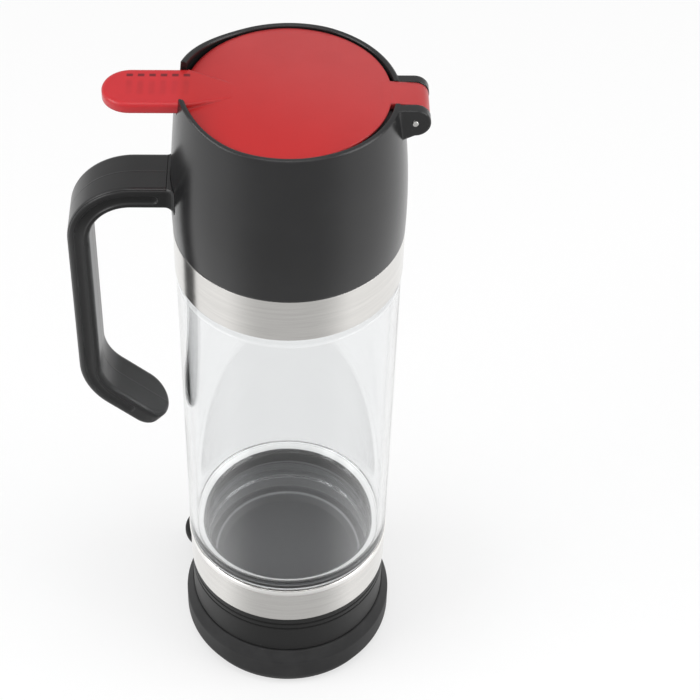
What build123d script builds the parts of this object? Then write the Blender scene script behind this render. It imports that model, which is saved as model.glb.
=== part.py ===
from build123d import *
import math
import os

# Honey dispenser: a clear vessel with a neck at each end. A pouring head with a handle and a
# hinged lid screws onto the upper neck, and a cup on a rubber suction foot onto the lower one.
# Origin: on the vessel's axis, in the plane that the foot stands on. +Z is up, the hinge lies
# towards +X, the handle and the lid's thumb tab towards -X. All sizes are in millimetres.

# Clearances
running_gap = 0.3        # between faces that move past each other
press_gap = 0.1          # between a band or a cup and what it is pressed on
pin_gap = 0.05           # round the hinge pin in the lid

# Vessel; the round pieces above and below it take their radii from its upper end
vessel_top_radius = 37.3
vessel_draft = 0.7              # by which the mould's draft narrows the tube downwards
vessel_wall = 2.4
vessel_length = 129.6           # between the two shoulders
vessel_shoulder_wall = 1.0
vessel_shoulder_slope = 3.0     # height of the sloping shoulder inside each end
vessel_corner = 0.8
vessel_bore_round = 1.5
neck_step = 5.6                 # from the side of the upper end in to the neck
neck_wall = 1.5
neck_length = 12.6
thread_depth = 0.4              # radial room that the thread takes in each socket

# Base cup and its steel band
cup_inset = 0.5                 # of the cup's side behind the vessel's lower end
cup_visible_height = 19.1       # bare wall between the foot and the lower band
cup_floor = 2.3
cup_shelf_width = 2.8           # from the bore of the neck in to the shelf's edge
cup_floor_step = 2.6            # from the shelf's edge in to the floor's
cup_shelf_rise = 2.5            # shelf round the floor above the floor itself
cup_shelf_depth = 5.4           # from the neck's lower edge down to the shelf
cup_skirt_inset = 2.1           # of the skirt that the foot is pushed over
cup_skirt_wall = 2.1
cup_round = 0.8
cup_groove_depth = 0.25
cup_groove_width = 0.9
cup_groove_drops = (3.2, 5.8)   # fine grooves below the band
lower_band_proud = 0.3          # of the band in front of the cup's side
lower_band_height = 16.8
band_thickness = 0.8
band_lip = 1.3                  # width of the lower band's turned-in lip
band_lip_thickness = 0.6
band_round = 0.7

# Gasket in the base cup
base_seal_width = 2.5
base_seal_height = 4.3
base_seal_proud = 0.6           # above the band's lip
base_seal_round = 0.4

# Suction foot
foot_crease_height = 17.6
foot_crease_proud = 0.4         # of the crease in front of the cup's side
foot_rim_flare = 2.4            # from the crease out to the rim
foot_rim_height = 13.4
foot_belly_height = 4.6
foot_contact_inset = 2.3        # of the contact ring's edge inside the rim
foot_contact_width = 3.8
foot_lip_slope = (2.0, 2.2)     # inner slope of the contact ring, inwards and upwards
foot_hollow_height = 7.4
foot_hollow_radius = 14.0
foot_floor = 3.5
foot_grip_width = 1.7           # of the groove's floor beyond the cup's skirt
foot_grip_height = 2.9
foot_rounds = (0.5, 2.0, 4.0, 0.8)
release_tab_angle = 138.0
release_tab_length = 12.3       # beyond the rim
release_tab_width = 21.0
release_tab_thickness = 2.8
release_tab_height = 11.5
release_tab_round = 0.9

# Plate and screws that hold the foot
retainer_thickness = 3.7
retainer_lip = 1.6
retainer_bore = 5.0
foot_screw_inset = 14.0         # of the screws from the skirt's outer face
foot_screw_count = 3
foot_screw_radius = 1.4
foot_screw_head_radius = 2.8
foot_screw_head_height = 1.6
foot_screw_length = 13.0
foot_screw_tip_room = 0.5
foot_boss_radius = 3.6

# Head shell
upper_band_proud = 0.3          # of the band in front of the vessel's side
upper_band_height = 16.7
head_height = 54.2              # from the band to the level rim
head_belly_proud = 0.2          # of the barrel shape's widest part in front of the band
head_belly_rise = 9.6           # of the widest part above the band
head_profile_radius = 271.0     # of the barrel shape's arc
head_wall = 1.8
head_lean = 1.0                 # by which the side with the lips leans out at the rim
head_lean_height = 24.0         # of the leaning part below the rim
head_sections = 6
lip_start = 14.0                # distance from the axis at which the lips start to rise
lip_arc_radius = 53.0
lip_room = 20.0                 # height above the rim that holds the lips
rim_fall_start = 12.0
rim_fall = 0.9                  # drop of the rim at the hinge
rim_chamfer = 0.4

# Collar, seal and funnel inside the head
collar_ledge_rise = 2.0         # of the ledge above the neck's edge
collar_spigot_gap = 0.6         # between the spigot and the widest part of the shell's inside
collar_spigot_height = 4.7
collar_throat_gap = 0.4         # of the throat outside the neck's bore
head_seal_height = 1.6
liner_foot_step = 0.4           # of the funnel's foot inside the neck's bore
liner_foot_thickness = 1.8
liner_mouth_gap = 0.6           # round the lid's locating ring
liner_wall = 1.6
liner_flange_tuck = 0.2         # of the flange's edge under the rim
liner_flange_drop = 4.3         # of the lid's seat below the rim
liner_mouth_round = 0.6

# Lid
lid_thickness = 2.0
lid_recess = 0.7                # of its top face's edge below the rim
lid_dome = 0.5
lid_edge_height = 0.2           # by which the dome's edge lies below the top face's level
lid_edge_chamfer = 1.0
lid_hinge_relief = 0.9          # extra room at the hinge side for the swing
lid_ring_inset = 5.7            # of the locating ring from the lid's edge
lid_ring_wall = 1.6
lid_ring_depth = 4.3
lid_ring_round = 0.6
lid_root = 0.5                  # by which what is moulded on reaches into the disc
tab_overhang = 23.3             # beyond the rim
tab_width = 17.6
tab_thickness = 3.4
tab_top_rise = 1.0              # of the tab's top above the rim
tab_skin = 1.4
tab_edge_round = 1.2
tab_rib_count = 5
tab_rib_pitch = 3.9
tab_rib_thickness = 1.1
tab_rib_inset = 5.1             # of the outermost rib from the tab's end
tab_rib_rise = 0.3              # of the ribs' lower edges above the tab's
ramp_end = 17.0
ramp_end_width = 7.0
ramp_corner = 0.7
notch_gap = 0.5
notch_corner = 0.6
lid_seal_width = 1.9
lid_seal_height = 1.7
lid_seal_groove = 0.4
lid_seal_gap = 1.4              # between the locating ring and the seal

# Hinge
hinge_stand = 4.2               # of the pin outside the rim
hinge_drop = 6.0                # of the pin below the rim
ear_radius = 4.8
ear_thickness = 3.3
ear_edge_round = 0.5
ear_slope = 3.0                 # height of the sloping web under the ears
ear_cove = 1.8                  # radius of the cove between each ear and the shell
tongue_width = 10.8
tongue_web = 0.6                # of the tongue below the disc's underside
slot_room = 1.0                 # below the disc, between the ears
barrel_radius = 4.6
barrel_clearance = 0.4
pin_radius = 1.0
pin_proud = 0.3
pin_chamfer = 0.2

# Handle
handle_span = 33.5              # from the head's widest part to the outer face of the grip
handle_width = 19.0
handle_top_drop = 33.0          # of the arm's top below the rim
arm_depth = 8.0
grip_depth = 7.3
grip_drop = 90.7                # from the arm's top to the corner above the toe
toe_angle = 42.0
toe_length = 33.6
handle_top_bend = 22.0
handle_toe_bend = 25.0
handle_inner_top_bend = 14.0
handle_inner_toe_bend = 17.5
handle_outer_round = 2.0
handle_inner_round = 2.0
handle_skin = 2.5               # thickness of the cover in the outer face
bead_width = 0.9                # of the inner moulding's edge beside the cover
cover_root_gap = 0.8            # between the cover's end and the head's widest part
channel_radius = 2.2
channel_depth = 0.9
channel_level = 3.9             # of the channel's middle below the outer face
channel_toe_gap = 15.2          # between the channel's end and the toe's tip
root_cove = 3.0                 # radius of the cove round the arm's root
root_sink = 0.15                # of the cove's top edge below the arm's top
handle_screw_spacing = 10.4
handle_screw_radius = 1.5
handle_screw_head_radius = 2.6
handle_screw_head_height = 1.8
handle_screw_length = 11.0

# Levels, worked out from the sizes above
cup_bottom = foot_crease_height + running_gap
lower_band_bottom = cup_bottom + cup_visible_height
lower_band_top = lower_band_bottom + lower_band_height
vessel_bottom = lower_band_top + base_seal_proud + running_gap
neck_bottom = vessel_bottom - neck_length
vessel_top = vessel_bottom + vessel_length
neck_top = vessel_top + neck_length
upper_band_bottom = vessel_top + running_gap
upper_band_top = upper_band_bottom + upper_band_height
shell_bottom = upper_band_top + press_gap
belly_height = upper_band_top + head_belly_rise
rim_height = upper_band_top + head_height
lip_top = rim_height + lip_room
hinge_z = rim_height - hinge_drop
lid_top = rim_height - lid_recess
lid_bottom = lid_top - lid_thickness
lid_seat = rim_height - liner_flange_drop
tab_top = rim_height + tab_top_rise
tab_bottom = tab_top - tab_thickness
collar_ledge = neck_top + collar_ledge_rise
collar_top = upper_band_top + collar_spigot_height
arm_top = rim_height - handle_top_drop
arm_bottom = arm_top - arm_depth
screw_height = arm_top - (handle_skin + arm_depth) / 2
foot_grip_bottom = foot_hollow_height + foot_floor
retainer_bottom = foot_grip_bottom + press_gap
retainer_top = retainer_bottom + retainer_thickness
screw_seat = retainer_bottom + press_gap + foot_screw_head_height
cup_ledge = neck_bottom - running_gap
cup_shelf = cup_ledge - cup_shelf_depth
cup_floor_top = cup_shelf - cup_shelf_rise
cup_top = lower_band_top - band_lip_thickness - press_gap
base_seal_top = lower_band_top + base_seal_proud
base_seal_bottom = base_seal_top - base_seal_height


def shell_radius(height):
    """Outer radius of the barrel-shaped head at a height."""
    rise = height - belly_height
    return head_belly_radius - head_profile_radius + math.sqrt(head_profile_radius**2 - rise**2)


# Radii, worked out from the vessel's
vessel_bottom_radius = vessel_top_radius - vessel_draft
neck_radius = vessel_top_radius - neck_step
neck_bore = neck_radius - neck_wall
socket_radius = neck_radius + thread_depth
cup_radius = vessel_bottom_radius - cup_inset
cup_shelf_radius = neck_bore - cup_shelf_width
cup_floor_radius = cup_shelf_radius - cup_floor_step
cup_skirt_radius = cup_radius - cup_skirt_inset
lower_band_radius = cup_radius + lower_band_proud
base_seal_inner = neck_radius + running_gap
base_seal_outer = base_seal_inner + base_seal_width
foot_crease_radius = cup_radius + foot_crease_proud
foot_rim_radius = foot_crease_radius + foot_rim_flare
foot_contact_radius = foot_rim_radius - foot_contact_inset
foot_grip_radius = cup_skirt_radius + foot_grip_width
foot_screw_circle = cup_skirt_radius - foot_screw_inset
release_tab_reach = foot_rim_radius + release_tab_length
upper_band_radius = vessel_top_radius + upper_band_proud
head_belly_radius = upper_band_radius + head_belly_proud
collar_spigot_radius = head_belly_radius - head_wall - collar_spigot_gap
collar_throat_radius = neck_bore + collar_throat_gap
rim_radius = shell_radius(rim_height)
lid_radius = shell_radius(lid_top) - head_wall - running_gap
rim_inner_radius = lid_radius + running_gap
lid_ring_radius = lid_radius - lid_ring_inset
lid_seal_inner = lid_ring_radius + lid_seal_gap
liner_bottom_radius = neck_bore - liner_foot_step
liner_mouth_radius = lid_ring_radius + liner_mouth_gap
liner_flange_radius = rim_inner_radius + liner_flange_tuck
hinge_x = rim_radius + hinge_stand
tab_reach = rim_radius + tab_overhang
handle_reach = head_belly_radius + handle_span
cover_reach = head_belly_radius + cover_root_gap


def turned(*corners):
    """Solid turned about the vessel's axis from corners of (radius, height, corner radius)."""
    points = [(corner[0], corner[1]) for corner in corners]
    rounds = [corner[2] if len(corner) > 2 else 0 for corner in corners]
    outline = FilletPolyline(*points, radius=rounds, close=True)
    return revolve(Plane.XZ * make_face(outline.edges()), Axis.Z)


def upright(outline, width):
    """Face drawn in the plane through axis and handle, thickened to both sides."""
    return extrude(Plane.XZ * make_face(outline.edges()), width / 2, both=True)


def post(radius, low, high, x=0.0, y=0.0):
    """Upright round bar between two heights."""
    return Pos(x, y, (low + high) / 2) * Cylinder(radius, high - low)


def crossbar(radius, length, x, z):
    """Round bar along Y, centred on the plane of symmetry."""
    return Pos(x, 0, z) * Rot(90, 0, 0) * Cylinder(radius, length)


def block(x_range, y_range, z_range):
    """Box between two corners."""
    size = [high - low for low, high in (x_range, y_range, z_range)]
    middle = [(high + low) / 2 for low, high in (x_range, y_range, z_range)]
    return Pos(*middle) * Box(*size)


def foot_screw_places():
    """Centres of the foot screws, evenly spaced on their circle."""
    for index in range(foot_screw_count):
        angle = math.radians(360.0 * index / foot_screw_count)
        yield foot_screw_circle * math.cos(angle), foot_screw_circle * math.sin(angle)


def vessel():
    """Clear tube with a plain shoulder and a neck at each end."""
    inner_top = vessel_top_radius - vessel_wall
    inner_bottom = vessel_bottom_radius - vessel_wall
    under_top = vessel_top - vessel_shoulder_wall
    over_bottom = vessel_bottom + vessel_shoulder_wall
    return turned(
        (neck_bore, neck_bottom),
        (neck_radius, neck_bottom),
        (neck_radius, vessel_bottom),
        (vessel_bottom_radius, vessel_bottom, vessel_corner),
        (vessel_top_radius, vessel_top, vessel_corner),
        (neck_radius, vessel_top),
        (neck_radius, neck_top),
        (neck_bore, neck_top),
        (neck_bore, under_top, vessel_bore_round),
        (inner_top, under_top - vessel_shoulder_slope, vessel_bore_round),
        (inner_bottom, over_bottom + vessel_shoulder_slope, vessel_bore_round),
        (neck_bore, over_bottom, vessel_bore_round),
    )


def base_cup():
    """Cup with the socket for the lower neck, a stepped floor and a skirt for the foot."""
    band_seat = lower_band_radius - band_thickness - press_gap
    counterbore = base_seal_outer + running_gap
    underside = cup_floor_top - cup_floor
    skirt_inner = cup_skirt_radius - cup_skirt_wall
    skirt_bottom = retainer_top + press_gap
    cup = turned(
        (skirt_inner, skirt_bottom),
        (cup_skirt_radius, skirt_bottom),
        (cup_skirt_radius, cup_bottom),
        (cup_radius, cup_bottom, cup_round),
        (cup_radius, lower_band_bottom - press_gap),
        (band_seat, lower_band_bottom - press_gap),
        (band_seat, cup_top),
        (counterbore, cup_top),
        (counterbore, base_seal_bottom),
        (socket_radius, base_seal_bottom),
        (socket_radius, cup_ledge),
        (neck_bore, cup_ledge),
        (neck_bore, cup_shelf, cup_round),
        (cup_shelf_radius, cup_shelf, cup_round),
        (cup_floor_radius, cup_floor_top, cup_round),
        (0, cup_floor_top),
        (0, underside),
        (skirt_inner, underside),
    )
    for drop in cup_groove_drops:
        middle = lower_band_bottom - drop
        cup -= turned(
            (cup_radius - cup_groove_depth, middle - cup_groove_width / 2),
            (foot_rim_radius, middle - cup_groove_width / 2),
            (foot_rim_radius, middle + cup_groove_width / 2),
            (cup_radius - cup_groove_depth, middle + cup_groove_width / 2),
        )
    for x, y in foot_screw_places():
        cup += post(foot_boss_radius, skirt_bottom, underside, x, y)
    for x, y in foot_screw_places():
        tip = screw_seat + foot_screw_length + foot_screw_tip_room
        cup -= post(foot_screw_radius, 0, tip, x, y)
    return cup


def lower_band():
    """Steel band round the base cup, its upper edge turned in over the cup's rim."""
    inner = lower_band_radius - band_thickness
    return turned(
        (inner, lower_band_bottom),
        (lower_band_radius, lower_band_bottom),
        (lower_band_radius, lower_band_top, band_round),
        (lower_band_radius - band_lip, lower_band_top),
        (lower_band_radius - band_lip, lower_band_top - band_lip_thickness),
        (inner, lower_band_top - band_lip_thickness),
    )


def base_seal():
    """Sleeve gasket between the base cup and the vessel's lower shoulder."""
    return turned(
        (base_seal_inner, base_seal_bottom),
        (base_seal_outer, base_seal_bottom),
        (base_seal_outer, base_seal_top, base_seal_round),
        (base_seal_inner, base_seal_top),
    )


def suction_foot():
    """Rubber foot: flared rim, hollow underside, a grip for the retainer and a release tab."""
    socket = cup_skirt_radius + running_gap
    grip_top = foot_grip_bottom + foot_grip_height
    contact_inner = foot_contact_radius - foot_contact_width
    slope_run, slope_rise = foot_lip_slope
    crease_round, rim_round, belly_round, contact_round = foot_rounds
    foot = turned(
        (socket, foot_crease_height),
        (foot_crease_radius, foot_crease_height, crease_round),
        (foot_rim_radius, foot_rim_height, rim_round),
        (foot_rim_radius, foot_belly_height, belly_round),
        (foot_contact_radius, 0, contact_round),
        (contact_inner, 0),
        (contact_inner - slope_run, slope_rise),
        (foot_hollow_radius, foot_hollow_height),
        (0, foot_hollow_height),
        (0, foot_grip_bottom),
        (foot_grip_radius, foot_grip_bottom),
        (foot_grip_radius, grip_top),
        (socket, grip_top),
    )
    tab_round = release_tab_width / 2
    outline = Pos(release_tab_reach - tab_round, 0) * Circle(tab_round)
    stem = release_tab_reach - tab_round - foot_hollow_radius
    outline += Pos(foot_hollow_radius + stem / 2, 0) * Rectangle(stem, release_tab_width)
    tab = extrude(Pos(0, 0, release_tab_height) * outline, release_tab_thickness)
    tab = fillet(tab.edges().filter_by(Plane.XY), release_tab_round)
    tab -= post(foot_crease_radius, 0, foot_crease_height)
    return foot + Rot(0, 0, release_tab_angle) * tab


def foot_retainer():
    """Rigid plate whose flange the rubber foot grips, with sunk screw holes."""
    flange = foot_grip_radius - running_gap
    flange_top = retainer_bottom + foot_grip_height - 2 * press_gap
    plate = turned(
        (retainer_bore, retainer_bottom),
        (flange, retainer_bottom),
        (flange, flange_top),
        (flange - retainer_lip, flange_top),
        (flange - retainer_lip, retainer_top),
        (retainer_bore, retainer_top),
    )
    for x, y in foot_screw_places():
        plate -= post(foot_screw_head_radius + press_gap, 0, screw_seat, x, y)
        plate -= post(foot_screw_radius + press_gap, 0, cup_bottom, x, y)
    return plate


def foot_screws():
    """Pan-head screws from below the retainer into the cup's bosses."""
    head_bottom = screw_seat - foot_screw_head_height
    screws = []
    for x, y in foot_screw_places():
        head = post(foot_screw_head_radius, head_bottom, screw_seat, x, y)
        shank = post(foot_screw_radius, screw_seat, screw_seat + foot_screw_length, x, y)
        screws.append(head + shank)
    return Compound(children=screws)


def head_form(inset=0.0):
    """Solid inside the head's barrel shape, which leans out towards the lips below the rim."""
    low = collar_top - 2 * collar_spigot_height
    sections = []
    for index in range(head_sections + 1):
        height = low + (lip_top - low) * index / head_sections
        radius = shell_radius(height) - inset
        rise = max(0.0, height - rim_height + head_lean_height)
        reach = radius + head_lean * (rise / head_lean_height) ** 2
        hinge_side = CenterArc((0, 0), radius, -90, 180)
        lip_side = EllipticalCenterArc((0, 0), reach, radius, 90, arc_size=180)
        sections.append(Pos(0, 0, height) * make_face(hinge_side.edges() + lip_side.edges()))
    return loft(sections)


def below_rim():
    """Space of the shell: under the level rim that rises to the lips and falls at the hinge."""
    far = 2 * head_belly_radius
    lip_run = head_belly_radius - lip_start
    rises = [lip_arc_radius - math.sqrt(lip_arc_radius**2 - run**2) for run in (lip_run / 2, lip_run)]
    straight = Polyline(
        (-lip_start, rim_height),
        (rim_fall_start, rim_height),
        (head_belly_radius, rim_height - rim_fall),
        (far, rim_height - rim_fall),
        (far, shell_bottom),
        (-head_belly_radius, shell_bottom),
        (-head_belly_radius, rim_height + rises[1]),
    )
    lip = ThreePointArc(
        (-head_belly_radius, rim_height + rises[1]),
        (-lip_start - lip_run / 2, rim_height + rises[0]),
        (-lip_start, rim_height),
    )
    return extrude(Plane.XZ * make_face(straight.edges() + lip.edges()), far, both=True)


def head_shell():
    """Outer shell of the head, with its lips, the tab's notch and the hinge ears."""
    inside = head_form(head_wall)
    shell = (head_form() - inside) & below_rim()
    lowest = rim_height - rim_fall - rim_chamfer
    rim_edges = shell.edges().filter_by(lambda edge: edge.center().Z > lowest and edge.length > 2 * head_wall)
    shell = chamfer(rim_edges, rim_chamfer)

    notch_half = tab_width / 2 + notch_gap
    notch_floor = tab_bottom - running_gap
    notch = block((-handle_reach, -lip_start), (-notch_half, notch_half), (notch_floor, lip_top))
    shell -= fillet(notch.edges().filter_by(Axis.X).group_by(Axis.Z)[0], notch_corner)

    ear_inner = tongue_width / 2 + running_gap
    ear_outer = ear_inner + ear_thickness
    ear_side = Polyline(
        (rim_inner_radius, hinge_z + ear_radius),
        (hinge_x, hinge_z + ear_radius),
        (hinge_x, hinge_z - ear_radius),
        (rim_inner_radius, hinge_z - ear_radius - ear_slope),
        close=True,
    )
    ears = upright(ear_side, 2 * ear_outer) + crossbar(ear_radius, 2 * ear_outer, hinge_x, hinge_z)
    ears -= block((0, 2 * hinge_x), (-ear_inner, ear_inner), (0, lip_top))
    outer_edges = ears.edges().filter_by(lambda edge: math.isclose(abs(edge.center().Y), ear_outer))
    ears = fillet(outer_edges, ear_edge_round)
    cove_y = ear_outer + ear_cove
    cove_x = math.sqrt((shell_radius(hinge_z + ear_radius) + ear_cove) ** 2 - cove_y**2)
    ear_levels = (hinge_z - ear_radius - ear_slope, hinge_z + ear_radius - ear_edge_round)
    for side in (-1, 1):
        y_range = sorted((side * ear_inner, side * cove_y))
        corner = block((rim_inner_radius, cove_x), y_range, ear_levels)
        ears += corner - post(ear_cove, *ear_levels, cove_x, side * cove_y)
    shell += ears - inside

    shell -= crossbar(barrel_radius + barrel_clearance, 2 * ear_inner, hinge_x, hinge_z)
    slot_floor = lid_bottom - slot_room - running_gap
    shell -= block((lip_start, hinge_x), (-ear_inner, ear_inner), (slot_floor, lip_top))
    shell -= crossbar(pin_radius + pin_gap / 2, 4 * ear_outer, hinge_x, hinge_z)

    for side in (-1, 1):
        y = side * handle_screw_spacing / 2
        hole = Pos(-head_belly_radius, y, screw_height) * Rot(0, 90, 0)
        shell -= hole * Cylinder(handle_screw_radius + press_gap, 4 * head_wall)
    return shell


def hinge_pin():
    """Straight pin through both ears and the lid's barrel."""
    half = tongue_width / 2 + running_gap + ear_thickness + pin_proud
    pin = crossbar(pin_radius, 2 * half, hinge_x, hinge_z)
    return chamfer(pin.edges().filter_by(GeomType.CIRCLE), pin_chamfer)


def upper_band():
    """Steel band round the head collar."""
    inner = upper_band_radius - band_thickness
    return turned(
        (inner, upper_band_bottom),
        (upper_band_radius, upper_band_bottom),
        (upper_band_radius, upper_band_top),
        (inner, upper_band_top),
    )


def head_collar():
    """Ring under the upper band, with the socket for the upper neck and a spigot for the shell."""
    outer = upper_band_radius - band_thickness - press_gap
    return turned(
        (socket_radius, upper_band_bottom + running_gap),
        (outer, upper_band_bottom + running_gap),
        (outer, shell_bottom - press_gap / 2),
        (collar_spigot_radius, shell_bottom - press_gap / 2),
        (collar_spigot_radius, collar_top),
        (collar_throat_radius, collar_top),
        (collar_throat_radius, collar_ledge),
        (socket_radius, collar_ledge),
    )


def head_seal():
    """Flat ring on the edge of the upper neck."""
    return turned(
        (neck_bore + press_gap, neck_top),
        (neck_radius, neck_top),
        (neck_radius, neck_top + head_seal_height),
        (neck_bore + press_gap, neck_top + head_seal_height),
    )


def mouth_liner():
    """Funnel inside the head: it stands on the collar and carries the lid's seat."""
    bottom = collar_top + press_gap
    flange_bottom = lid_seat - liner_wall
    return turned(
        (liner_bottom_radius, bottom),
        (collar_spigot_radius, bottom),
        (collar_spigot_radius, bottom + liner_foot_thickness),
        (liner_bottom_radius + liner_wall, bottom + liner_foot_thickness),
        (liner_mouth_radius + liner_wall, flange_bottom),
        (liner_flange_radius, flange_bottom),
        (liner_flange_radius, lid_seat),
        (liner_mouth_radius, lid_seat, liner_mouth_round),
    )


def lid():
    """Domed disc with a ribbed thumb tab, a ramp, a hinge tongue and a locating ring."""
    edge_low = lid_bottom + lid_edge_chamfer
    edge_high = lid_top - lid_edge_height
    crown = lid_top + lid_dome
    flank = Polyline(
        (0, crown),
        (0, lid_bottom),
        (lid_radius - lid_edge_chamfer, lid_bottom),
        (lid_radius, edge_low),
        (lid_radius, edge_high),
    )
    crown_radius = (lid_radius**2 + (crown - edge_high) ** 2) / (2 * (crown - edge_high))
    half_way = lid_radius / 2
    half_height = crown - crown_radius + math.sqrt(crown_radius**2 - half_way**2)
    dome = ThreePointArc((lid_radius, edge_high), (half_way, half_height), (0, crown))
    disc = revolve(Plane.XZ * make_face(flank.edges() + dome.edges()), Axis.Z)
    relief = turned(
        (0, lid_bottom),
        (lid_radius - lid_edge_chamfer, lid_bottom),
        (lid_radius, edge_low),
        (lid_radius, lip_top),
        (0, lip_top),
    )
    disc &= Pos(-lid_hinge_relief, 0, 0) * relief

    body = disc + thumb_tab() + hinge_tongue()
    ring_inner = lid_ring_radius - lid_ring_wall
    body += turned(
        (ring_inner, lid_bottom - lid_ring_depth),
        (lid_ring_radius, lid_bottom - lid_ring_depth, lid_ring_round),
        (lid_ring_radius, lid_bottom + lid_root),
        (ring_inner, lid_bottom + lid_root),
    )
    groove_inner = lid_seal_inner - press_gap
    groove_outer = lid_seal_inner + lid_seal_width + press_gap
    body -= turned(
        (groove_inner, lid_seat),
        (groove_outer, lid_seat),
        (groove_outer, lid_bottom + lid_seal_groove),
        (groove_inner, lid_bottom + lid_seal_groove),
    )
    body -= crossbar(pin_radius + pin_gap, 2 * tongue_width, hinge_x, hinge_z)
    return body


def thumb_tab():
    """Stadium-shaped tab, open below with cross ribs, and its ramp into the lid's disc."""
    half = tab_width / 2
    round_centre = tab_reach - half
    root = lid_radius - 2 * lid_root
    straight = round_centre - root
    outline = Pos(-round_centre, 0) * Circle(half)
    outline += Pos(-root - straight / 2, 0) * Rectangle(straight, tab_width)
    tab = extrude(Pos(0, 0, tab_bottom) * outline, tab_thickness)
    top_edges = tab.edges().group_by(Axis.Z)[-1].filter_by(lambda edge: edge.center().X < -root - lid_root)
    tab = fillet(top_edges, tab_edge_round)

    pocket_root = rim_radius + 2 * tab_skin
    pocket_run = round_centre - pocket_root
    pocket = Pos(-round_centre, 0) * Circle(half - tab_skin)
    pocket += Pos(-pocket_root - pocket_run / 2, 0) * Rectangle(pocket_run, tab_width - 2 * tab_skin)
    hollow = extrude(Pos(0, 0, lid_bottom) * pocket, tab_top - tab_skin - lid_bottom)
    for index in range(tab_rib_count):
        middle = -tab_reach + tab_rib_inset + index * tab_rib_pitch
        x_range = (middle - tab_rib_thickness / 2, middle + tab_rib_thickness / 2)
        hollow -= block(x_range, (-half, half), (tab_bottom + tab_rib_rise, tab_top))
    tab -= hollow

    ramp_top = lid_top + lid_dome / 2
    ramp_low = lid_bottom + lid_root
    wide = Plane(origin=(-root, 0, (tab_top + tab_bottom) / 2), x_dir=(0, 1, 0), z_dir=(1, 0, 0))
    narrow = Plane(origin=(-ramp_end, 0, (ramp_top + ramp_low) / 2), x_dir=(0, 1, 0), z_dir=(1, 0, 0))
    ramp = loft([
        wide * RectangleRounded(tab_width, tab_thickness, ramp_corner),
        narrow * RectangleRounded(ramp_end_width, ramp_top - ramp_low, ramp_corner),
    ])
    return tab + ramp


def hinge_tongue():
    """Tongue of the lid that runs between the ears and wraps the pin."""
    root = lid_radius - lid_ring_inset + lid_ring_wall
    shoulder = barrel_radius * math.sin(math.radians(45))
    tongue = Polyline(
        (root, lid_bottom),
        (root, lid_top),
        (hinge_x, hinge_z + barrel_radius),
        (hinge_x, hinge_z),
        (hinge_x - shoulder, hinge_z + shoulder),
        (lid_radius - lid_root, lid_bottom - tongue_web),
        close=True,
    )
    return upright(tongue, tongue_width) + crossbar(barrel_radius, tongue_width, hinge_x, hinge_z)


def lid_seal():
    """Soft ring in the groove of the lid's underside."""
    top = lid_bottom + lid_seal_groove
    return turned(
        (lid_seal_inner, top - lid_seal_height),
        (lid_seal_inner + lid_seal_width, top - lid_seal_height),
        (lid_seal_inner + lid_seal_width, top),
        (lid_seal_inner, top),
    )


def toe_vectors():
    """Direction along the toe and its normal towards the vessel, in the side plane."""
    angle = math.radians(toe_angle)
    along = (math.cos(angle), -math.sin(angle))
    normal = (math.sin(angle), math.cos(angle))
    return along, normal


def handle_line(depth):
    """Corner points of the handle's outer line, moved in by a depth: root, top, heel, toe."""
    along, normal = toe_vectors()
    top = arm_top - depth
    back = -handle_reach + depth
    heel_height = arm_top - grip_drop
    shift = (back + handle_reach - normal[0] * depth) / along[0]
    heel = heel_height + normal[1] * depth + along[1] * shift
    toe = (
        -handle_reach + along[0] * toe_length + normal[0] * depth,
        heel_height + along[1] * toe_length + normal[1] * depth,
    )
    return (-collar_throat_radius, top), (back, top), (back, heel), toe


def handle_layer(low_depth, high_depth):
    """Layer of the handle between two depths below its outer face, wider than the handle."""
    outer = handle_line(low_depth)
    inner = handle_line(high_depth)
    rounds = [
        0,
        handle_top_bend - low_depth,
        handle_toe_bend - low_depth,
        0,
        0,
        handle_toe_bend - high_depth,
        handle_top_bend - high_depth,
        0,
    ]
    outline = FilletPolyline(*outer, *reversed(inner), radius=rounds, close=True)
    return upright(outline, 2 * handle_width)


def handle_blank(half_width):
    """Handle with square edges and a round toe, at a half width about the same middle line."""
    along, normal = toe_vectors()
    outer = handle_line(0)
    grip = handle_line(grip_depth)
    inner = ((outer[0][0], arm_bottom), (grip[1][0], arm_bottom), grip[2], grip[3])
    rounds = [0, handle_top_bend, handle_toe_bend, 0, 0, handle_inner_toe_bend, handle_inner_top_bend, 0]
    outline = FilletPolyline(*outer, *reversed(inner), radius=rounds, close=True)
    blank = upright(outline, 2 * half_width)

    toe = outer[3]
    back = handle_width / 2
    toe_plane = Plane(
        origin=(toe[0] - along[0] * back, 0, toe[1] - along[1] * back),
        x_dir=(along[0], 0, along[1]),
        z_dir=(normal[0], 0, normal[1]),
    )
    beyond = Pos(handle_width, 0) * Rectangle(2 * handle_width, 2 * handle_width)
    return blank - extrude(toe_plane * (beyond - Circle(half_width)), 2 * grip_depth, both=True)


def handle_body():
    """Whole handle with its rounded edges, before the cover in its outer face is split off."""
    body = handle_blank(handle_width / 2)
    for level, radius in ((-1, handle_outer_round), (0, handle_inner_round)):
        arm_edges = body.edges().filter_by(Axis.X).group_by(Axis.Z)[level]
        body = fillet(arm_edges, radius)
    return body


def cover_zone(gap):
    """Space of the cover in the handle's outer face, grown by a gap."""
    zone = handle_blank(handle_width / 2 - bead_width + gap) & handle_layer(-bead_width, handle_skin + gap)
    return zone - block((gap - cover_reach, 0), (-handle_width, handle_width), (0, rim_height))


def handle_shell():
    """Cover strip let into the outer face of arm, grip and toe."""
    return handle_body() & cover_zone(0)


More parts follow.
